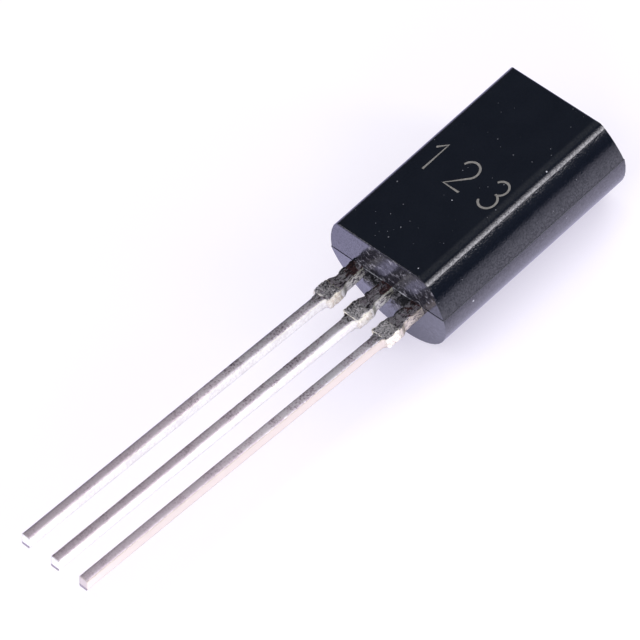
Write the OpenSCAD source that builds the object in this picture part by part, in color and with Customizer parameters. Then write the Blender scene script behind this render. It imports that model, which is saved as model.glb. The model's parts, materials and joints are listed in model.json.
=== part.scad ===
// Three-lead plastic transistor in the long TO-92 outline, flat face up.
// Frame: +Z out of the flat face, X across the leads, leads towards -Y. The origin is the middle of
// the centre lead's section where it leaves the moulding, so Y = 0 is the parting line of the lead end.

/* [Moulding] */
// Width across the leads, at the parting line
body_w = 5.08; // [4.7:0.02:5.3]
// Length at the parting line
body_l = 7.86; // [7.4:0.02:9]
// Thickness from the round back to the flat face
body_t = 3.84; // [3.7:0.02:4.1]
// Depth of the parting plane under the flat face
face_depth = 1.455; // [1.4:0.005:1.55]
// Lean of the crowned side walls at the parting line, in degrees
side_lean = 6; // [3:0.5:10]
// Lean of the crowned side walls where they meet the corner radius, in degrees
corner_lean = 32; // [26:1:38]
// Draft of the end faces in the front mould half, in degrees
front_draft = 3; // [1:0.5:6]
// Draft of the end faces in the rear mould half, in degrees
rear_draft = 1.5; // [1:0.5:6]
// Corner radius between the flat face and the side walls
corner_r = 0.46; // [0.3:0.02:0.6]
// Edge radius between the flat face and the end faces
edge_r = 0.08; // [0.03:0.01:0.15]
// How far the front mould half stands back from the rear half, all round
mould_step = 0.015; // [0.01:0.005:0.05]

/* [Mould marks] */
// Diameter of the ejector pin mark on the round back
ejector_d = 1.6; // [1:0.1:2]
// Depth of the pin mark's flat floor, measured at the lowest line of the back
ejector_h = 0.16; // [0.14:0.01:0.3]
// Width of the broken-off gate at the top end
gate_w = 1.1; // [0.6:0.1:1.8]
// Thickness of the broken-off gate
gate_t = 0.3; // [0.15:0.05:0.5]
// How far the gate stands proud of the top end
gate_l = 0.08; // [0.04:0.01:0.15]

/* [Leads outside the body] */
// Distance between neighbouring leads
pitch = 1.32; // [1.2:0.01:1.4]
// Length of each lead outside the body
lead_l = 13.9; // [9:0.1:16]
// Thickness of the lead strip
lead_t = 0.38; // [0.34:0.01:0.45]
// Width of the plain run
lead_w = 0.36; // [0.34:0.01:0.42]
// Rounding of the four long edges of the plain run
lead_edge_r = 0.05; // [0.03:0.01:0.1]
// Width of the root, where a lead leaves the body
root_w = 0.45; // [0.43:0.01:0.52]
// Width across the stubs that the cut dam bar leaves
stub_w = 0.66; // [0.56:0.01:0.75]
// Distance from the body to the stubs' full width
stub_gap = 0.95; // [0.8:0.05:1.3]
// Length of the stubs at full width
stub_l = 0.55; // [0.4:0.05:0.8]
// Length of the shoulder at each end of a stub
stub_ramp = 0.18; // [0.08:0.02:0.3]
// Slant of the shear cut at the tip, along the lead
tip_slant = 0.1; // [0:0.05:0.3]
// Rise of the leads towards the flat face, in degrees
lead_rise = 3.8; // [0.5:0.1:5]
// Radius of the bends from which the leads rise, at the middle of their thickness
bend_r = 1; // [0.6:0.1:2]

/* [Lead frame inside the body] */
// Length of the outer leads' necks, from the body's end to the bond posts
post_neck_l = 0.8; // [0.5:0.05:1]
// Width of a bond post
post_w = 0.9; // [0.7:0.05:1]
// Length of a bond post
post_l = 0.9; // [0.6:0.05:1]
// Offset of a bond post to the outside of its lead
post_shift = 0.12; // [0:0.02:0.2]
// Gap between the bond posts and the chip pad, along the body
post_gap = 0.35; // [0.25:0.05:0.6]
// Width of the chip pad
pad_w = 2.2; // [1.8:0.1:2.8]
// Length of the chip pad
pad_l = 3.0; // [2.4:0.1:3.4]
// Corner cut of the chip pad towards the lead
pad_cut = 0.4; // [0.2:0.05:0.6]
// Diameter of the hole that locks the pad in the moulding
lock_d = 0.6; // [0.4:0.05:0.8]
// Radius of the notches that lock the neck of the collector lead
notch_r = 0.09; // [0.05:0.01:0.12]

/* [Chip and bond wires] */
// Side of the square chip
die_w = 0.9; // [0.6:0.05:1.1]
// Thickness of the chip
die_t = 0.25; // [0.15:0.01:0.3]
// Thickness of the solder under the chip
solder_t = 0.03; // [0.02:0.01:0.05]
// How far the solder spreads past each side of the chip
solder_rim = 0.08; // [0.04:0.01:0.15]
// Diameter of the bond wires
wire_d = 0.05; // [0.04:0.005:0.07]
// Rise of a wire loop over the straight line between its two bonds
loop_h = 0.45; // [0.3:0.05:0.5]
// Diameter of a bond's foot
bond_d = 0.14; // [0.12:0.01:0.18]
// Thickness of a bond's foot
bond_t = 0.06; // [0.05:0.005:0.08]
// Distance between the two bonds on the chip
bond_pitch = 0.44; // [0.3:0.02:0.5]

/* [Hidden] */
$fn = 96;

parting_z = lead_t / 2;               // parting plane, level with the front of the lead strip
face_z = parting_z + face_depth;      // flat face
back_z = face_z - body_t;             // lowest line of the round back
half_w = body_w / 2;
// the round back runs from one parting line to the other through the lowest line
back_depth = parting_z - back_z;
back_r = (pow(half_w, 2) + pow(back_depth, 2)) / (2 * back_depth);
// where the crowned side wall of the front half ends and its corner radius begins
wall_r = (face_depth - corner_r * (1 - sin(corner_lean))) / (sin(corner_lean) - sin(side_lean));
wall_centre = [half_w - mould_step - wall_r * cos(side_lean), parting_z - wall_r * sin(side_lean)];
wall_end = wall_centre + wall_r * [cos(corner_lean), sin(corner_lean)];
stub_end = stub_gap + stub_l + stub_ramp;
bend_l = bend_r * lead_rise * PI / 180;          // a bend's length along the lead
bend_before = stub_gap - stub_ramp - bend_l;     // from the body to a bend that ends at the stub
pad_y = post_neck_l + post_l + post_gap;
pad_end = pad_y + pad_l;
lock_y = pad_end - lock_d;            // centre of the lock hole, half a hole from the pad's end
die_y = (pad_y + pad_cut + lock_y - lock_d / 2) / 2;
die_z = parting_z + solder_t;
cut = 1;                              // overshoot of cutting tools
lap = 0.1;                            // how far a root laps over the inner end of its lead

// ---- moulding ----

// Section of the front half, across the leads: side walls crowned by one arc that runs into the corner
module front_section() {
    radial = [cos(corner_lean), sin(corner_lean)];
    corner = wall_end - corner_r * radial;
    for (s = [0, 1]) mirror([s, 0]) {
        intersection() {
            translate(wall_centre) circle(wall_r);
            polygon([[0, parting_z], [body_w, parting_z], wall_end + half_w * radial, corner,
                     corner + [0, corner_r], [0, face_z]]);
        }
        translate(corner) circle(corner_r);
    }
}

// Section of the rear half: a round back up to the parting plane
module rear_section() {
    intersection() {
        translate([0, back_z + back_r]) circle(back_r);
        translate([-body_w, back_z]) square([2 * body_w, back_depth]);
    }
}

// Side view of the front half, with both drafted end faces and the edge radius at the flat face
module front_profile() {
    foot = body_l / 2 - mould_step;
    edge = [foot - (edge_r + (face_depth - edge_r) * sin(front_draft)) / cos(front_draft), face_z - edge_r];
    touch = edge + edge_r * [cos(front_draft), sin(front_draft)];
    for (s = [0, 1]) translate([body_l / 2, 0]) mirror([s, 0]) {
        polygon([[0, parting_z], [foot, parting_z], touch, edge + [0, edge_r], [0, face_z]]);
        translate(edge) circle(edge_r);
    }
}

// Side view of the rear half
module rear_profile() {
    lean = back_depth * tan(rear_draft);
    polygon([[0, parting_z], [body_l, parting_z], [body_l - lean, back_z], [lean, back_z]]);
}

module along_y() { translate([0, body_l + cut, 0]) rotate([90, 0, 0]) linear_extrude(body_l + 2 * cut) children(); }
module along_x() { translate([-body_w, 0, 0]) rotate([90, 0, 90]) linear_extrude(2 * body_w) children(); }

module moulding() {
    intersection() { along_y() front_section(); along_x() front_profile(); }
    difference() {
        intersection() { along_y() rear_section(); along_x() rear_profile(); }
        // the ejector pin leaves a shallow flat-floored mark in the round back
        translate([0, body_l / 2, back_z - cut]) cylinder(d = ejector_d, h = cut + ejector_h);
    }
    // broken-off gate, just under the parting plane of the top end
    translate([-gate_w / 2, body_l - gate_t, parting_z - gate_t]) cube([gate_w, gate_t + gate_l, gate_t]);
}

// ---- lead frame ----

// Stamped from the strip: an outline in plan, as thick as the strip, its front in the parting plane
module strip() { translate([0, 0, -lead_t / 2]) linear_extrude(lead_t) children(); }

// Root and dam-bar stub in plan, with the shoulders down to the plain run and the sharp-edged length
// of it in which a lead may bend
module root_outline() {
    profile = [[root_w, -lap], [root_w, stub_gap - stub_ramp], [stub_w, stub_gap],
               [stub_w, stub_gap + stub_l], [lead_w, stub_end], [lead_w, stub_end + 2 * bend_l]];
    polygon(concat([for (p = profile) [p[0] / 2, -p[1]]],
                   [for (i = [len(profile) - 1:-1:0]) [-profile[i][0] / 2, -profile[i][1]]]));
}

// Section of the plain run beyond, with round edges
module run_section() {
    flat = [lead_w - 2 * lead_edge_r, lead_t - 2 * lead_edge_r];
    square([lead_w, flat[1]], center = true);
    square([flat[0], lead_t], center = true);
    for (x = [-0.5, 0.5], z = [-0.5, 0.5]) translate([x * flat[0], z * flat[1]]) circle(lead_edge_r);
}

// Plain run, with the slanted shear cut at its tip
module plain_run() {
    difference() {
        translate([0, -stub_gap - stub_l, 0]) rotate([90, 0, 0])
            linear_extrude(lead_l - stub_gap - stub_l) run_section();
        translate([-lead_w, 0, 0]) rotate([90, 0, 90]) linear_extrude(2 * lead_w)
            polygon([[-lead_l - cut, -parting_z], [-lead_l, -parting_z], [-lead_l + tip_slant, parting_z],
                     [-lead_l + tip_slant, parting_z + cut], [-lead_l - cut, parting_z + cut]]);
    }
}

// The stretch of a straight lead between two distances from the body
module stretch(near, far) {
    intersection() {
        union() { strip() root_outline(); plain_run(); }
        translate([-stub_w, -far, -lead_t]) cube([2 * stub_w, far - near, 2 * lead_t]);
    }
}

// One lead outside the body: level up to its bend, then rising. The bend is as wide as the lead is there.
module outer_lead(bend, bend_w) {
    stretch(-cut, bend);
    translate([0, -bend, bend_r]) {
        rotate([0, 90, 0]) rotate([0, 0, -lead_rise]) rotate_extrude(angle = lead_rise)
            translate([bend_r, 0]) square([lead_t, bend_w], center = true);
        rotate([-lead_rise, 0, 0]) translate([0, bend + bend_l, -bend_r])
            stretch(bend + bend_l, lead_l + cut);
    }
}

// The outer leads bend at their root, just before the stub, and the centre lead just behind it
module side_lead() { outer_lead(bend_before, root_w); }
module centre_lead() { outer_lead(stub_end, lead_w); }

// Inner end of an outer lead: neck and bond post, the post shifted outwards
module bond_post(side) {
    strip() {
        translate([-root_w / 2, 0]) square([root_w, post_neck_l + post_l / 2]);
        translate([side * post_shift - post_w / 2, post_neck_l]) square([post_w, post_l]);
    }
}

// Inner end of the collector lead: notched neck and chip pad with its lock hole
module chip_pad() {
    strip() difference() {
        polygon([[-root_w / 2, 0], [root_w / 2, 0], [root_w / 2, pad_y],
                 [pad_w / 2 - pad_cut, pad_y], [pad_w / 2, pad_y + pad_cut], [pad_w / 2, pad_end],
                 [-pad_w / 2, pad_end], [-pad_w / 2, pad_y + pad_cut], [-pad_w / 2 + pad_cut, pad_y],
                 [-root_w / 2, pad_y]]);
        translate([0, lock_y]) circle(d = lock_d);
        for (s = [-1, 1]) translate([s * root_w / 2, post_neck_l + post_l / 2]) circle(notch_r);
    }
}

module at_lead(n) { translate([n * pitch, 0, 0]) children(); }

module emitter_lead() { color([0.74, 0.73, 0.75]) at_lead(-1) { side_lead(); bond_post(-1); } }
module collector_lead() { color([0.72, 0.71, 0.73]) { centre_lead(); chip_pad(); } }
module base_lead() { color([0.76, 0.75, 0.76]) at_lead(1) { side_lead(); bond_post(1); } }

// ---- chip and bond wires ----

module die_attach() {
    side = die_w + 2 * solder_rim;
    color([0.62, 0.62, 0.64])
        translate([-side / 2, die_y - side / 2, parting_z]) cube([side, side, solder_t]);
}

module die() {
    color([0.33, 0.35, 0.42])
        translate([-die_w / 2, die_y - die_w / 2, die_z]) cube([die_w, die_w, die_t]);
}

// Where the two ends of a wire stand, on the chip and on the bond post
function chip_bond(side) = [side * bond_pitch / 2, die_y - die_w / 4, die_z + die_t];
function post_bond(side) = [side * (pitch + post_shift), post_neck_l + post_l / 2, parting_z];

module bond_foot(at) { translate(at) cylinder(d = bond_d, h = bond_t); }

// Loop of wire: one arc through both bonds, in the upright plane that holds them
module bond_wire(side) {
    a = chip_bond(side);
    b = post_bond(side);
    run = norm([b[0] - a[0], b[1] - a[1]]);
    drop = a[2] - b[2];
    chord = norm([run, drop]);
    r = (pow(chord / 2, 2) + pow(loop_h, 2)) / (2 * loop_h);
    half_turn = asin(chord / 2 / r);
    color([0.86, 0.68, 0.28]) {
        bond_foot(a);
        bond_foot(b);
        translate(a + [0, 0, bond_t / 2 + wire_d / 8])
            rotate([0, atan2(drop, run), atan2(b[1] - a[1], b[0] - a[0])])
            translate([chord / 2, 0, loop_h - r]) rotate([90, 0, 0]) rotate([0, 0, 90 - half_turn])
            rotate_extrude(angle = 2 * half_turn) translate([r, 0]) circle(d = wire_d);
    }
}

module emitter_wire() { bond_wire(-1); }
module base_wire() { bond_wire(1); }

// The moulding flows round everything that it holds
module body() {
    color([0.10, 0.11, 0.14]) difference() {
        moulding();
        emitter_lead();
        collector_lead();
        base_lead();
        die_attach();
        die();
        emitter_wire();
        base_wire();
    }
}

body();
emitter_lead();
collector_lead();
base_lead();
die();
die_attach();
emitter_wire();
base_wire();
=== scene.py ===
"""Looks of a three-lead transistor in a moulded body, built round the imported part."""
import json
import math

import bmesh
import bpy
from mathutils import Euler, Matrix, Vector

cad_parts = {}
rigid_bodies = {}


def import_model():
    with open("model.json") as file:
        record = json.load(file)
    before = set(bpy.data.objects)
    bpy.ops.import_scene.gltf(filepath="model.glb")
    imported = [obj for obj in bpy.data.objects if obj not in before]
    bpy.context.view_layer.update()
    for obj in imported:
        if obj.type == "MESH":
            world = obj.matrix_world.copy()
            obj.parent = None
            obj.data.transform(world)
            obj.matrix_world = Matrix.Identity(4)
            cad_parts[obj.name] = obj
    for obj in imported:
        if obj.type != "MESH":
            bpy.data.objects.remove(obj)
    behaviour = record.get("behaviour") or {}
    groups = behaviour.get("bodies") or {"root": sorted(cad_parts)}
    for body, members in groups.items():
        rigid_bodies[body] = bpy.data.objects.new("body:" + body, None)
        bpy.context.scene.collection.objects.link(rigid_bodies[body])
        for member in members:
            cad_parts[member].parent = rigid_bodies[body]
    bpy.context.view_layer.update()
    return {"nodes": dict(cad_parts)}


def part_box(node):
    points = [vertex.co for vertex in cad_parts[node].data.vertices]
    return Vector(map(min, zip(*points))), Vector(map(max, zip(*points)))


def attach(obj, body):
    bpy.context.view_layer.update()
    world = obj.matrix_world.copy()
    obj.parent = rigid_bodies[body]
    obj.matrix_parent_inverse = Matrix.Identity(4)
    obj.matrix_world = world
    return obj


for left_over in list(bpy.data.objects):          # a fresh file may hold a cube, a lamp and a camera
    bpy.data.objects.remove(left_over)
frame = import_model()
nodes = frame["nodes"]
bpy.context.scene.view_settings.view_transform = "Standard"

MM = 0.001                                        # one millimetre in Blender's metres
LEADS = ("emitter_lead", "collector_lead", "base_lead")

# ---- sizes and places of the part ----
body_low, body_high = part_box("body")
FLOOR_Z = body_low.z                              # the round back lies on the floor
FACE_Z = body_high.z                              # flat face
STRIP_T = 0.38 * MM                               # thickness of the lead strip
PARTING_Z = STRIP_T / 2                           # parting line, level with the front of the strip
WALL_X, WALL_FULL = 2.34 * MM, 2.42 * MM          # between these a side wall and its parting step begin
STEP_PAINTED_LIGHT = 0.24                                  # how much painted light lightens that step, over the dark reflection in its level facet
PITCH = 1.32 * MM                                 # between neighbouring leads
LAST_LEAD_X = 0.9 * MM, 1.1 * MM                  # where the base lead begins, blended over this range
STUB_NEAR, STUB_FAR = 0.77 * MM, 1.68 * MM        # where the dam-bar stubs begin and end
STUB_W = 0.66 * MM
RISE = math.radians(3.8)                          # of the leads, towards the flat face
LATE_RISE = 0.065 * MM                            # that the middle lead is lower, since it bends further out
TIP_Y, TIP_LOW = -13.72 * MM, -0.14 * MM          # where the sheared tips begin, and where their dark rim, partly painted shade, ends
TIP_EDGE = 0.03 * MM                              # over which both fade
# along the leads, in mm of Y, where each of these begins and is full, and its strength there: cracks on
# rolled faces, cracks on sheared faces, the coarser tin and the paler tin
LEAD_STRETCHES = (-2.2, -1.7, 1), (-1.0, -0.5, 1), (-6.5, -4.0, 1), (-5.0, -9.0, 0.65)
COPPER_FROM, COPPER_FULL = 1.0 * MM, 1.12 * MM    # Y plus the patches, where the tin is gone

# ---- camera, floor and light ----
CAMERA_AT = 133.544, -74.812, 171.460             # in mm
CAMERA_TURN = 39.9814, 12.9856, 46.5981           # in degrees
CAMERA_LENS, CAMERA_SENSOR = 425.05, 36
TABLE = 0.8                                       # half the table's side, in metres
TABLE_DROP = 0.02 * MM                            # of the table under the card
CARD_EDGE = 17 * MM                               # where the white card under the part ends
CARD, CARD_SHADE, CARD_GLOW = "#DCDAE0", "#C1C0BB", "#ECE7FF"
GLOW_LOW, GLOW_FULL = 0.54, 0.68                  # of the card under the part, and beyond its right side, where the stronger glow is painted light that keeps the shade close to the part
GLOW_FROM, GLOW_TO = 1.2 * MM, 2.8 * MM
# what gloss sees of the card, as X in mm, level and tint; the first two are its ends. The levels paint the
# part's shadow under it and pools of light beside it, seen only in reflections
GLOSS_FROM, GLOSS_PEAK = -6 * MM, 2.6
GLOSS_STOPS = ((-6, 0.92, "#D8D3FF"), (16.9, 1.00, "#EEEAFF"), (-1.5, 0.92, "#DCD8FF"),
               (0, 0.66, "#E0DCFF"), (1.6, 0.84, "#E2DEFF"), (3.2, 1.68, "#E8E2FF"),
               (4.2, 1.10, "#E8E2FF"), (5.4, 1.25, "#E8E2FF"), (6.3, 1.85, "#EEEAFF"),
               (8.5, 1.60, "#EEEAFF"), (11, 1.25, "#EEEAFF"))
GLOSS_AHEAD = ((0.6, 1.0), (-0.6, 1.8), (-11, 1.8), (-14, 2.6))   # gain over Y in mm: a painted pool of light ahead of the lead end, seen only in reflections
TENT_DIFFUSE, TENT_GLOSSY, TENT_OVERHEAD = 0.86, 0.05, 0.30
TENT_OVERHEAD_FROM, TENT_OVERHEAD_TO = 0.80, 0.94  # height on the unit sphere
LAMP_TINT, LAMP_DISTANCE = "#FBF8FF", 0.30
FADE_FROM, FADE_TO = 0.30, 0.95                   # height on a fading lamp
# name, azimuth, elevation, width, height, radiance, and the share of it left at the top edge
LAMPS = (("key_lamp", 23, 27.5, 0.07, 0.22, 8.9, 0.05),
         ("fill_lamp", 96, 40, 0.16, 0.12, 2.5, None),
         ("front_lamp", -40, 16, 0.10, 0.10, 8.0, None),
         ("edge_lamp", 229, 20, 0.05, 0.05, 6.0, None))

# ---- surface trim ----
BLEED_LEAN = 0.8                                  # of the resin bleed on the lead end, X over Z
BLEED_FROM, BLEED_TO = -1.62 * MM, 1.64 * MM
BLEED_EDGE = 0.05 * MM                            # over which its sides fade
BLEED_FULL, BLEED_GONE = 0.10 * MM, 0.13 * MM     # how far in Y it reaches along the moulding
DIGIT_H, DIGIT_Y, SPOT = 1.15 * MM, 3.2 * MM, 0.09 * MM   # pin numbers: height, foot, width of a stroke
DIGIT_MIDDLE = 0.30                               # of a digit, in digit heights
BURR, SINK = 0.10, 0.002 * MM                     # a stroke's height over its width, and how deep it is sunk
CRUST_SHOULDER, CRUST_TAPER = 0.08 * MM, 0.26 * MM
CRUST_SHOULDER_W, CRUST_TAPER_W = 0.66, 0.60      # width at the ends, over the crust's own
CRUST_SHIFT = -0.005 * MM, -0.09 * MM, 0.01 * MM  # off the middle of the stub
CRUST_OVER, CRUST_THICK = 0.07 * MM, 0.04 * MM    # wider and thicker than the stub
CRUST_ROUGH, RESIN_ROUGH = 0.045 * MM, 0.05 * MM
# resin between the leads, and dark fillets beside each root as painted shade and dark reflection: name,
# middle and size in mm
RESIN = (("flash_left", (-0.62, -0.08, -0.06), (0.64, 0.28, 0.28)),
         ("flash_right", (0.68, -0.10, -0.09), (0.66, 0.36, 0.34)),
         ("shade_fillet_left", (-1.56, -0.28, 0.04), (0.10, 0.62, 0.26)),
         ("shade_fillet_middle", (-0.25, -0.34, 0.03), (0.10, 0.74, 0.26)),
         ("shade_fillet_right", (1.08, -0.34, 0.03), (0.10, 0.72, 0.26)))
CRUST_SEED, RESIN_SEED = 11, 31

# ---- settings that several shader nodes share ----
MULTIPLY, MULTIPLY_ADD = {"operation": "MULTIPLY"}, {"operation": "MULTIPLY_ADD"}
MAXIMUM, ABSOLUTE = {"operation": "MAXIMUM"}, {"operation": "ABSOLUTE"}
ADD, LESS_THAN = {"operation": "ADD"}, {"operation": "LESS_THAN"}
COLOURS = {"data_type": "RGBA"}


# ---- helpers ----

def linear(hex_colour):
    """sRGB hex to the linear RGBA that Blender's sockets take."""
    channels = [int(hex_colour[i:i + 2], 16) / 255 for i in (1, 3, 5)]
    return tuple(c / 12.92 if c <= 0.04045 else ((c + 0.055) / 1.055) ** 2.4 for c in channels) + (1.0,)


def add(tree, kind, settings=None, **inputs):
    """Adds a shader node. Settings are its properties. Inputs are named, or numbered as _0, _1 and so on.
    Each takes a value, another node's output, or another node, whose first output in use it takes."""
    made = tree.nodes.new("ShaderNode" + kind)
    for name, value in (settings or {}).items():
        setattr(made, name, value)
    for name, value in inputs.items():
        socket = made.inputs[int(name[1:])] if name[1:].isdigit() else made.inputs[name.replace("_", " ")]
        if isinstance(value, bpy.types.Node):
            value = next(output for output in value.outputs if output.enabled)
        if isinstance(value, bpy.types.NodeSocket):
            tree.links.new(value, socket)
        else:
            socket.default_value = value
    return made


def set_stops(ramp, stops):
    """Sets a colour ramp's stops, given as (place, linear colour). A new ramp holds two."""
    held = ramp.color_ramp.elements
    for index, (at, colour) in enumerate(stops):
        stop = held[index] if index < 2 else held.new(at)
        stop.position = at
        stop.color = colour


def new_material(name):
    """An empty node material, with the place on the piece that its patterns follow."""
    made = bpy.data.materials.new(name)
    made.use_nodes = True
    tree = made.node_tree
    tree.nodes.clear()
    return made, tree, add(tree, "TexCoord").outputs["Object"]


# ---- camera ----

def add_camera():
    data = bpy.data.cameras.new("camera")
    data.sensor_width = CAMERA_SENSOR
    data.lens = CAMERA_LENS
    data.clip_start, data.clip_end = 0.01, 5
    made = bpy.data.objects.new("camera", data)
    made.location = Vector(CAMERA_AT) * MM
    made.rotation_euler = Euler([math.radians(a) for a in CAMERA_TURN])
    bpy.context.scene.collection.objects.link(made)
    bpy.context.scene.camera = made


# ---- floor, world and lamps ----

def floor_material(name, glossy):
    """Matt white card that keeps the part's shadow. The camera sees it white, and it glows more beyond the
    part's right side, painted light that keeps the shade close to the part. Gloss sees a painted image
    instead: a painted shadow under the part, painted pools of light beside it and ahead of the lead end,
    dimmer and bluer elsewhere, and nothing where it isn't glossy."""
    made, tree, place = new_material(name)
    path = add(tree, "LightPath")
    x, y, _ = add(tree, "SeparateXYZ", Vector=place).outputs
    mirror = add(tree, "Math", MAXIMUM, _0=path.outputs["Is Glossy Ray"],
                 _1=path.outputs["Is Transmission Ray"])
    card = add(tree, "BsdfDiffuse", Color=linear(CARD))
    shade = add(tree, "BsdfDiffuse", Color=linear(CARD_SHADE))
    lift = add(tree, "MapRange", _0=x, _1=GLOW_FROM, _2=GLOW_TO, _3=GLOW_LOW, _4=GLOW_FULL)
    glow = add(tree, "Emission", Color=linear(CARD_GLOW), Strength=lift)
    seen = add(tree, "AddShader", _0=glow, _1=shade)
    plain = add(tree, "MixShader", Fac=path.outputs["Is Camera Ray"], _1=card, _2=seen)
    # painted reflection: the card's image for gloss, with a painted shadow under the part and pools of light
    # beside it
    along = add(tree, "MapRange", _0=x, _1=GLOSS_FROM, _2=CARD_EDGE)
    ramp = add(tree, "ValToRGB", Fac=along)
    set_stops(ramp, [((at * MM - GLOSS_FROM) / (CARD_EDGE - GLOSS_FROM),
                      [level / GLOSS_PEAK * c for c in linear(tint)[:3]] + [1.0])
                     for at, level, tint in GLOSS_STOPS])
    gain = GLOSS_PEAK * glossy
    for (start, low), (end, high) in zip(GLOSS_AHEAD, GLOSS_AHEAD[1:]):
        step = add(tree, "MapRange", _0=y, _1=start * MM, _2=end * MM, _3=1, _4=high / low)
        gain = add(tree, "Math", MULTIPLY, _0=step, _1=gain)
    image = add(tree, "Emission", Color=ramp, Strength=gain)
    both = add(tree, "MixShader", Fac=mirror, _1=plain, _2=image)
    add(tree, "OutputMaterial", Surface=both)
    return made


def add_floor():
    """A white card that ends beside the part, on a table that gloss sees dark."""
    for name, z, edge, glossy in (("card", FLOOR_Z, CARD_EDGE, 1), ("table", FLOOR_Z - TABLE_DROP, TABLE, 0)):
        bpy.ops.mesh.primitive_plane_add(size=1.0)
        made = bpy.context.object
        made.name = name
        for corner in made.data.vertices:
            corner.co = (edge if corner.co.x > 0 else -TABLE, math.copysign(TABLE, corner.co.y), z)
        made.data.materials.append(floor_material("white_" + name, glossy))


def add_world():
    """A pale tent round the part. Gloss sees it nearly dark, like the gap that the camera looks in by."""
    world = bpy.data.worlds.new("studio")
    bpy.context.scene.world = world
    world.use_nodes = True
    tree = world.node_tree
    tree.nodes.clear()
    path = add(tree, "LightPath")
    sky = add(tree, "TexCoord")
    height = add(tree, "SeparateXYZ", Vector=sky.outputs["Generated"]).outputs["Z"]
    overhead = add(tree, "MapRange", _0=height, _1=TENT_OVERHEAD_FROM, _2=TENT_OVERHEAD_TO,
                   _3=TENT_GLOSSY, _4=TENT_OVERHEAD)
    level = add(tree, "MapRange", _0=path.outputs["Is Glossy Ray"], _1=0, _2=1, _3=TENT_DIFFUSE, _4=overhead)
    tent = add(tree, "Background", Color=(1, 1, 1, 1), Strength=level)
    white = add(tree, "Background", Color=(1, 1, 1, 1), Strength=1.0)
    both = add(tree, "MixShader", Fac=path.outputs["Is Camera Ray"], _1=tent, _2=white)
    add(tree, "OutputWorld", Surface=both)


def add_lamp(name, azimuth, elevation, width, height, radiance, fade):
    """A soft lamp that looks at the part. Azimuth is counted from +X towards +Y. Fade is the share of its
    brightness that is left at its top edge, or None for an even lamp."""
    data = bpy.data.lights.new(name, "AREA")
    data.shape = "RECTANGLE"
    data.size, data.size_y = width, height
    data.color = linear(LAMP_TINT)[:3]
    data.energy = radiance * math.pi * width * height
    if fade is not None:
        data.use_nodes = True
        tree = data.node_tree
        tree.nodes.clear()
        where = add(tree, "NewGeometry")
        up = add(tree, "SeparateXYZ", Vector=where.outputs["Parametric"]).outputs["Y"]
        ramp = add(tree, "MapRange", _0=up, _1=FADE_FROM, _2=FADE_TO, _3=1.0, _4=fade)
        out = add(tree, "Emission", Strength=ramp)
        add(tree, "OutputLight", Surface=out)
    made = bpy.data.objects.new(name, data)
    a, e = math.radians(azimuth), math.radians(elevation)
    away = Vector((math.cos(a) * math.cos(e), math.sin(a) * math.cos(e), math.sin(e)))
    made.location = away * LAMP_DISTANCE
    made.rotation_euler = away.to_track_quat("Z", "Y").to_euler()
    bpy.context.scene.collection.objects.link(made)


# ---- materials ----

def specks(tree, place):
    """Dust and finer silica: round spots of uneven size, one in each cell. Cells are in mm, and a spot's
    reach is a share of its cell."""
    spots = 0.0
    for cell, share, brightness in ((0.42, 0.12, 0.8), (0.17, 0.20, 0.22)):
        cells = add(tree, "TexVoronoi", Vector=place, Scale=1 / (cell * MM))
        size = add(tree, "Math", {"operation": "POWER"}, _0=cells.outputs["Color"], _1=3)
        reach = add(tree, "Math", MULTIPLY_ADD, _0=size, _1=share, _2=-0.008)
        inside = add(tree, "Math", {"operation": "SUBTRACT"}, _0=reach, _1=cells.outputs["Distance"])
        spot = add(tree, "MapRange", _0=inside, _1=0, _2=0.015, _3=0, _4=brightness)
        spots = add(tree, "Math", MAXIMUM, _0=spot, _1=spots)
    return spots


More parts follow.
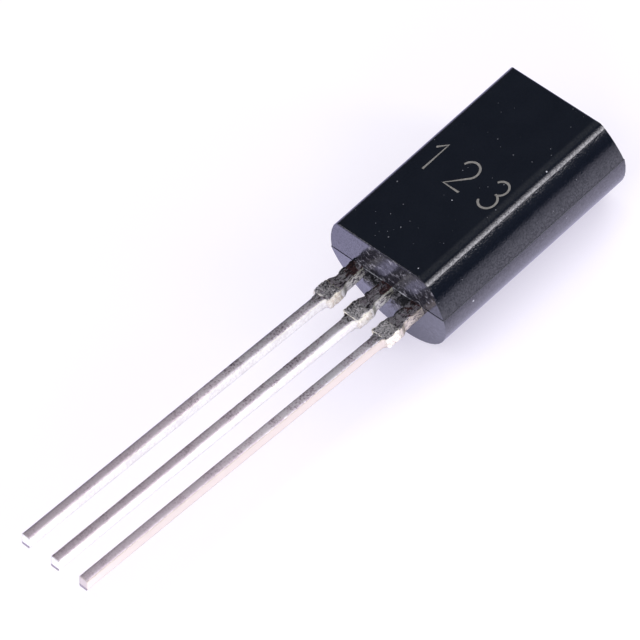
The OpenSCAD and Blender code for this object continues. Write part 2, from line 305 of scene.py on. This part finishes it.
def epoxy():
    """Moulded epoxy: a glossy skin over near-black, faintly blue filler. Mould texture breaks up the edge of
    each reflection, grains of silica show as white specks, and resin that bled past the leads lies dull and
    dark on the lead end. A pale line along the parting plane is a painted highlight, and the level step of
    the side walls is lightened by painted light."""
    made, tree, place = new_material("moulded_epoxy")
    x, y, z = add(tree, "SeparateXYZ", Vector=place).outputs
    grain = add(tree, "TexNoise", Vector=place, Scale=1 / (0.055 * MM), Detail=2.0, Roughness=0.6)
    cloud = add(tree, "TexNoise", Vector=place, Scale=1 / (0.9 * MM), Detail=3.0, Roughness=0.55)
    spots = specks(tree, place)

    # the bleed leans with height, ends in a ragged edge, and thins out towards the left and the round back
    leaning = add(tree, "Math", MULTIPLY_ADD, _0=z, _1=-BLEED_LEAN, _2=x)
    ragged = add(tree, "Math", MULTIPLY_ADD, _0=cloud, _1=0.16 * MM, _2=leaning)
    left = add(tree, "MapRange", _0=ragged, _1=BLEED_FROM, _2=BLEED_FROM + BLEED_EDGE)
    right = add(tree, "MapRange", _0=ragged, _1=BLEED_TO, _2=BLEED_TO - BLEED_EDGE)
    lead_end = add(tree, "MapRange", _0=y, _1=BLEED_GONE, _2=BLEED_FULL)
    tongues = add(tree, "TexNoise", Vector=place, Scale=1 / (0.30 * MM), Detail=4.0, Roughness=0.6)
    slant = add(tree, "Math", MULTIPLY_ADD, _0=x, _1=0.75, _2=z)
    tongue = add(tree, "Math", MULTIPLY_ADD, _0=tongues, _1=3.2 * MM, _2=slant)
    front = add(tree, "MapRange", _0=tongue, _1=0.20 * MM, _2=0.28 * MM)
    bleed = 1.0
    for mask in (left, right, lead_end, front):
        bleed = add(tree, "Math", MULTIPLY, _0=mask, _1=bleed)
    curls = add(tree, "TexNoise", Vector=place, Scale=1 / (0.17 * MM), Detail=5.0, Roughness=0.7,
                Distortion=0.8)
    curl = add(tree, "MapRange", _0=curls, _1=0.55, _2=0.66)

    # a thin painted highlight along the parting plane, broken by the curls, and painted light on the level
    # step of the side walls
    under = add(tree, "MapRange", _0=z, _1=PARTING_Z - 0.022 * MM, _2=PARTING_Z - 0.010 * MM)
    low_enough = add(tree, "Math", LESS_THAN, _0=z, _1=PARTING_Z + 0.006 * MM)
    broken = add(tree, "MapRange", _0=curls, _1=0.40, _2=0.56, _3=0.15, _4=0.9)
    line = low_enough
    for mask in (under, left, right, broken, lead_end):
        line = add(tree, "Math", MULTIPLY, _0=mask, _1=line)
    # painted light on the level facet of the parting step on the side walls, over its dark reflection
    aside = add(tree, "Math", ABSOLUTE, _0=x)
    wall = add(tree, "MapRange", _0=aside, _1=WALL_X, _2=WALL_FULL, _3=0, _4=STEP_PAINTED_LIGHT)
    normal = add(tree, "NewGeometry").outputs["Normal"]
    upward = add(tree, "SeparateXYZ", Vector=normal).outputs["Z"]
    level = add(tree, "Math", {"operation": "GREATER_THAN"}, _0=upward, _1=0.9)
    level = add(tree, "Math", MULTIPLY, _0=level, _1=low_enough)
    step = add(tree, "Math", MULTIPLY, _0=level, _1=wall)

    dark = add(tree, "Mix", COLOURS, _0=cloud, _6=linear("#0E121B"), _7=linear("#151922"))
    resin = add(tree, "Mix", COLOURS, _0=curl, _6=linear("#26262E"), _7=linear("#94929D"))
    bled = add(tree, "Mix", COLOURS, _0=bleed, _6=dark, _7=resin)
    # white specks of dust and silica, with the painted highlight of the parting line and the painted light on
    # the wall step
    pale = add(tree, "Math", MAXIMUM, _0=line, _1=spots)
    pale = add(tree, "Math", MAXIMUM, _0=pale, _1=step)
    colour = add(tree, "Mix", COLOURS, _0=pale, _6=bled, _7=linear("#C9CBD4"))

    streaks = add(tree, "TexNoise", Vector=place, Scale=1 / (0.22 * MM), Detail=5.0, Roughness=0.7)
    streak = add(tree, "MapRange", _0=streaks, _1=0.42, _2=0.72, _3=0.06, _4=0.30)
    sheen = add(tree, "MapRange", _0=grain, _1=0.35, _2=0.65, _3=0.22, _4=0.62)
    gloss = add(tree, "Mix", _0=bleed, _2=sheen, _3=streak)
    smear = add(tree, "MapRange", _0=cloud, _1=0.3, _2=0.7, _3=0.035, _4=0.065)
    rough = add(tree, "Mix", _0=bleed, _2=smear, _3=0.18)
    texture = add(tree, "Math", MULTIPLY_ADD, _0=cloud, _1=1.0, _2=grain)
    bump = add(tree, "Bump", Height=texture, Strength=1.0, Distance=0.0035 * MM)
    shader = add(tree, "BsdfPrincipled", Base_Color=colour, Roughness=rough, IOR=1.60,
                 Specular_IOR_Level=gloss, Normal=bump)
    add(tree, "OutputMaterial", Surface=shader)
    return made


def lead_age(tree, place, facing, rolled, skin, side):
    """How a lead differs along its length. Next to the moulding its front is bare copper in ragged patches,
    crazed by dark cracks. Further out the tin is darker and coarser at first, then paler and smoother, and
    its long edges are rounded; across each top the metal share falls towards +X, so that side takes more matt
    light, a painted shading of the rounded top. The last lead is duller, and each tip has a dark rim along
    its foot, a shear ridge darkened further as painted shade.
    Takes and gives the colours of rolled and of sheared faces, and adds the metal share of rolled faces and
    stains as (mask, colour)."""
    x, y, z = add(tree, "SeparateXYZ", Vector=place).outputs
    root, close, inner, outer = (add(tree, "MapRange", _0=y, _1=start * MM, _2=end * MM, _4=strength)
                                 for start, end, strength in LEAD_STRETCHES)
    last_from, last_to = LAST_LEAD_X

    patch = add(tree, "TexNoise", Vector=place, Scale=1 / (0.28 * MM), Detail=4.0, Roughness=0.6)
    reach = add(tree, "Math", MULTIPLY_ADD, _0=patch, _1=2.6 * MM, _2=y)
    bare = add(tree, "MapRange", _0=reach, _1=COPPER_FROM, _2=COPPER_FULL)
    front = add(tree, "MapRange", _0=z, _1=PARTING_Z - 0.28 * MM, _2=PARTING_Z - 0.16 * MM)
    bare = add(tree, "Math", MULTIPLY, _0=bare, _1=front)
    skin = add(tree, "Mix", COLOURS, _0=bare, _6=skin, _7=linear("#8F6A6C"))
    skin = add(tree, "Mix", {**COLOURS, "blend_type": "MULTIPLY"}, _0=inner, _6=skin, _7=linear("#EDF0F2"))
    skin = add(tree, "Mix", COLOURS, _0=outer, _6=skin, _7=linear("#E4D3E0"))
    last = add(tree, "MapRange", _0=x, _1=last_from, _2=last_to)
    side = add(tree, "Mix", COLOURS, _0=last, _6=side, _7=linear("#CBC2B4"))

    drawn = add(tree, "Mapping", Vector=place, Scale=(1, 0.55, 1))
    crazed = add(tree, "TexNoise", Vector=drawn, Scale=1 / (0.10 * MM), Detail=5.0, Roughness=0.7,
                 Distortion=1.4)
    crack = add(tree, "MapRange", _0=crazed, _1=0.50, _2=0.56)
    crazing = add(tree, "Mix", _0=rolled, _2=close, _3=root)
    cracked = add(tree, "Math", MULTIPLY, _0=crack, _1=crazing)

    risen = add(tree, "Math", MULTIPLY_ADD, _0=y, _1=math.tan(RISE), _2=z)
    aside = add(tree, "Math", ABSOLUTE, _0=x)
    later = add(tree, "MapRange", _0=aside, _1=0.6 * MM, _2=0.7 * MM, _3=LATE_RISE, _4=0)
    risen = add(tree, "Math", ADD, _0=risen, _1=later)
    # the dark rim at each tip's foot: a shear ridge, darkened further as painted shade where the tip meets
    # its shadow
    foot = add(tree, "MapRange", _0=risen, _1=TIP_LOW, _2=TIP_LOW - TIP_EDGE)
    tip = add(tree, "MapRange", _0=y, _1=TIP_Y, _2=TIP_Y - TIP_EDGE)
    ahead = add(tree, "Math", LESS_THAN, _0=facing["Y"], _1=-0.3)
    burr_and_shade = add(tree, "Math", MULTIPLY, _0=foot, _1=tip)
    burr_and_shade = add(tree, "Math", MULTIPLY, _0=burr_and_shade, _1=ahead)

    offset = add(tree, "Math", {"operation": "WRAP"}, _0=x, _1=PITCH / 2, _2=-PITCH / 2)
    # painted shading: the metal share falls across each top towards +X, so that side takes more matt light,
    # as on a rounded top
    rounded = add(tree, "MapRange", _0=offset, _1=-0.16 * MM, _2=0.18 * MM, _3=0.90, _4=0.58)
    duller = add(tree, "MapRange", _0=x, _1=last_from, _2=last_to, _3=0, _4=-0.07)
    bright = add(tree, "Math", ADD, _0=rounded, _1=duller)
    bright = add(tree, "Math", MULTIPLY_ADD, _0=inner, _1=0.08, _2=bright)
    bright = add(tree, "Mix", _0=root, _2=bright, _3=0.96)
    return skin, side, bright, ((cracked, "#4A444C"), (burr_and_shade, "#978D8D"))


def metal(name, tones, grain, roughness, relief, sheared, edge=0.01, dull_side=0, dull_top=0,
          turn=(0.45, 0.75), age=None):
    """A metal whose tone follows a grain, with pits as deep as the relief, and edges that shine as if they
    were rounded, all given in mm. Tones are (share of the grain, hex colour). Faces that stand upright are
    sheared smooth, in two tones of their own, and turn says how level the rolled ones are. Dull_side and
    dull_top are the shares of matt oxide on both. Age is a function that adds what changes along the piece,
    and sets the oxide on rolled faces instead of dull_top."""
    made, tree, place = new_material(name)
    fine = add(tree, "TexNoise", Vector=place, Scale=1 / (grain * MM), Detail=5.0, Roughness=0.65)
    broad = add(tree, "TexNoise", Vector=place, Scale=1 / (9 * grain * MM), Detail=2.0)
    mixed = add(tree, "Mix", _0=0.35, _2=fine, _3=broad)
    skin = add(tree, "ValToRGB", Fac=mixed)
    set_stops(skin, [(at, linear(tone)) for at, tone in tones])
    normal = add(tree, "NewGeometry").outputs["Normal"]
    facing = add(tree, "SeparateXYZ", Vector=normal).outputs
    steep = add(tree, "Math", ABSOLUTE, _0=facing["Z"])
    rolled = add(tree, "MapRange", _0=steep, _1=turn[0], _2=turn[1])
    torn = add(tree, "MapRange", _0=mixed, _1=0.44, _2=0.52)
    side = add(tree, "Mix", COLOURS, _0=torn, _6=linear(sheared[0]), _7=linear(sheared[1]))
    bright, stains = 1 - dull_top, ()
    if age is not None:
        skin, side, bright, stains = age(tree, place, facing, rolled, skin, side)
    metallic = add(tree, "MapRange", _0=rolled, _1=0, _2=1, _3=1 - dull_side, _4=bright)
    colour = add(tree, "Mix", COLOURS, _0=rolled, _6=side, _7=skin)
    for mask, tone in stains:
        colour = add(tree, "Mix", COLOURS, _0=mask, _6=colour, _7=linear(tone))
    softened = add(tree, "Bevel", {"samples": 6}, Radius=edge * MM)
    pitted = add(tree, "MapRange", _0=rolled, _1=0, _2=1, _3=0.4, _4=1.0)
    bump = add(tree, "Bump", Height=fine, Strength=pitted, Distance=relief * MM, Normal=softened)
    shader = add(tree, "BsdfPrincipled", Base_Color=colour, Roughness=roughness, Metallic=metallic,
                 Normal=bump)
    add(tree, "OutputMaterial", Surface=shader)
    return made


def flash_resin():
    """Resin that crept out round the leads: thin, black and glossy, with paler broken rims. On the fillets
    beside the roots its black is painted shade.
    """
    made, tree, place = new_material("flash_resin")
    curls = add(tree, "TexNoise", Vector=place, Scale=1 / (0.16 * MM), Detail=5.0, Roughness=0.7,
                Distortion=0.6)
    rim = add(tree, "MapRange", _0=curls, _1=0.52, _2=0.64)
    colour = add(tree, "Mix", COLOURS, _0=rim, _6=linear("#24242B"), _7=linear("#9A98A2"))
    bump = add(tree, "Bump", Height=curls, Strength=1.0, Distance=0.05 * MM)
    shader = add(tree, "BsdfPrincipled", Base_Color=colour, Roughness=0.22, IOR=1.55, Normal=bump)
    add(tree, "OutputMaterial", Surface=shader)
    return made


def marking():
    """Laser-marked epoxy: the skin burnt to a dull brownish grey, coarser than the rest."""
    made, tree, place = new_material("laser_marked_epoxy")
    soot = add(tree, "TexNoise", Vector=place, Scale=1 / (0.045 * MM), Detail=3.0, Roughness=0.7)
    colour = add(tree, "Mix", COLOURS, _0=soot, _6=linear("#1E1D1C"), _7=linear("#A3A09D"))
    bump = add(tree, "Bump", Height=soot, Strength=1.0, Distance=0.01 * MM)
    shader = add(tree, "BsdfPrincipled", Base_Color=colour, Roughness=0.75, Normal=bump)
    add(tree, "OutputMaterial", Surface=shader)
    return made


def dress(name, material):
    """Gives a solid that was carried over its material."""
    mesh = nodes[name].data
    mesh.materials.clear()
    mesh.materials.append(material)


# ---- pieces that the solids leave to the looks ----

def finished(made, material):
    """Puts the piece's place into its mesh, gives it its material and lets it ride on the part."""
    bpy.ops.object.transform_apply(location=True, rotation=True, scale=True)
    bpy.ops.object.shade_smooth()
    made.data.materials.append(material)
    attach(made, "root")


def rough_block(name, centre, size, seed, roughness, ends=()):
    """A block with an uneven skin, as plating or resin builds up. Ends gives, for the -Y and the +Y end, the
    length of a taper and the width that it comes down to."""
    bpy.ops.mesh.primitive_cube_add(size=1.0)
    made = bpy.context.object
    made.name = name
    made.scale = size
    bpy.ops.object.transform_apply(scale=True)
    bpy.ops.object.mode_set(mode="EDIT")
    for side, (length, share) in zip((-1, 1), ends):
        bpy.ops.mesh.select_all(action="DESELECT")
        mesh = bmesh.from_edit_mesh(made.data)
        for face in mesh.faces:
            face.select = face.normal.y * side > 0.9
        bmesh.update_edit_mesh(made.data)
        bpy.ops.mesh.extrude_region_move(TRANSFORM_OT_translate={"value": (0, side * length, 0)})
        bpy.ops.transform.resize(value=(share, 1, 1))
    bpy.ops.mesh.select_all(action="SELECT")
    bpy.ops.mesh.subdivide(number_cuts=9)
    bpy.ops.mesh.vertices_smooth(factor=0.5, repeat=2)
    bpy.ops.transform.vertex_random(offset=roughness, uniform=0.4, normal=0.6, seed=seed)
    bpy.ops.mesh.vertices_smooth(factor=0.5, repeat=1)
    bpy.ops.object.mode_set(mode="OBJECT")
    made.location = centre
    return made


def add_crusts(material):
    """Tin crust over the stub of each cut dam bar."""
    middle = (STUB_NEAR + STUB_FAR) / 2
    shift_x, shift_y, shift_z = CRUST_SHIFT
    size = (STUB_W + CRUST_OVER, STUB_FAR - STUB_NEAR - CRUST_SHOULDER - CRUST_TAPER, STRIP_T + CRUST_THICK)
    ends = ((CRUST_SHOULDER, CRUST_SHOULDER_W), (CRUST_TAPER, CRUST_TAPER_W))
    for index, lead in enumerate(LEADS):
        # the outer leads bend before their stub, and the middle one after it
        lift = math.tan(RISE) * (middle - STUB_NEAR) if index != 1 else 0
        centre = ((index - 1) * PITCH + shift_x, shift_y - middle, lift + shift_z)
        made = rough_block(lead.replace("lead", "stub_crust"), centre, size, CRUST_SEED + index, CRUST_ROUGH,
                           ends)
        finished(made, material)


def add_flash(material):
    """Resin that crept out between the leads, and dark fillets along the left side of each root, painted
    shade for the dark gap beside it.
    """
    for index, (name, centre, size) in enumerate(RESIN):
        made = rough_block(name, [c * MM for c in centre], [c * MM for c in size], RESIN_SEED + index,
                           RESIN_ROUGH)
        finished(made, material)


def arc(x, y, radius, start, stop, steps=14):
    """Points round an arc, from one angle in degrees to another."""
    angles = [math.radians(start + (stop - start) * i / steps) for i in range(steps + 1)]
    return [(x + radius * math.cos(a), y + radius * math.sin(a)) for a in angles]


def add_pin_numbers(material):
    """Plain pin numbers, each in line with its own lead, in strokes as wide as a laser spot. They stand a
    little proud, as burnt resin does. Strokes are drawn in digit heights."""
    strokes = (((0.10, 0.76), (0.34, 1.0), (0.34, 0.0)),
               (*arc(0.30, 0.71, 0.29, 165, -35), (0.0, 0.0), (0.60, 0.0)),
               (*arc(0.30, 0.76, 0.24, 155, -80), *arc(0.30, 0.27, 0.27, 80, -155)))
    digits = []
    for index, stroke in enumerate(strokes):
        bpy.ops.curve.primitive_nurbs_path_add()
        made = bpy.context.object
        curve = made.data
        curve.splines.clear()
        spline = curve.splines.new("POLY")
        spline.points.add(len(stroke) - 1)
        for point, (x, y) in zip(spline.points, stroke):
            point.co = (x - DIGIT_MIDDLE, y, 0, 1)
        curve.bevel_depth = SPOT / 2 / DIGIT_H
        curve.bevel_resolution = 3
        curve.use_fill_caps = True
        bpy.ops.object.convert(target="MESH")
        made.scale = (DIGIT_H, DIGIT_H, DIGIT_H * BURR)
        made.location = ((index - 1) * PITCH, DIGIT_Y, FACE_Z - SINK)
        bpy.ops.object.transform_apply(location=True, rotation=True, scale=True)
        digits.append(made)
    bpy.ops.object.select_all(action="DESELECT")
    for made in digits:
        made.select_set(True)
    bpy.context.view_layer.objects.active = digits[0]
    bpy.ops.object.join()
    made = bpy.context.object
    made.name = "pin_numbers"
    made.data.materials.append(material)
    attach(made, "root")


add_camera()
add_floor()
add_world()
for lamp in LAMPS:
    add_lamp(*lamp)

black = epoxy()
# tin plating over copper: a fine grey grain on rolled faces, smooth and creamy on sheared ones
plating = metal("tin_plating", ((0.37, "#9A8A98"), (0.455, "#E9D9E6"), (0.54, "#FFF8FF")), grain=0.075,
                roughness=0.42, relief=0.003, sheared=("#E4E2D6", "#F2F2E6"), edge=0.14, dull_side=0.45,
                age=lead_age)
# tin crust: built up in bright lumps over the cut dam bars, with dark pits on top
crust = metal("tin_crust", ((0.40, "#3E3C44"), (0.47, "#A2A0A6"), (0.56, "#FFFBFF")), grain=0.062,
              roughness=0.38, relief=0.05, sheared=("#DDD2C3", "#FBF8EE"), edge=0.05, dull_side=0.80,
              dull_top=0.13, turn=(0.72, 0.90))
# die solder: grey and faintly mottled, in a thin matt layer
solder = metal("die_solder", ((0.40, "#8A8C92"), (0.60, "#B9BBC2")), grain=0.08, roughness=0.35,
               relief=0.004, sheared=("#9A9CA3", "#A5A7AE"))
# polished silicon: a dark, slightly blue mirror
silicon = metal("polished_silicon", ((0.40, "#50586C"), (0.60, "#69718A")), grain=0.20, roughness=0.12,
                relief=0.001, sheared=("#343A4A", "#3C4252"))
# drawn gold: a warm yellow wire, shiny all along
gold = metal("drawn_gold", ((0.40, "#D9A441"), (0.60, "#F0C464")), grain=0.03, roughness=0.22,
             relief=0.001, sheared=("#DCA848", "#E8B854"))
for node, material in (("body", black), ("die", silicon), ("die_attach", solder), ("emitter_wire", gold),
                       ("base_wire", gold), *((lead, plating) for lead in LEADS)):
    dress(node, material)
add_crusts(crust)
add_flash(flash_resin())
add_pin_numbers(marking())
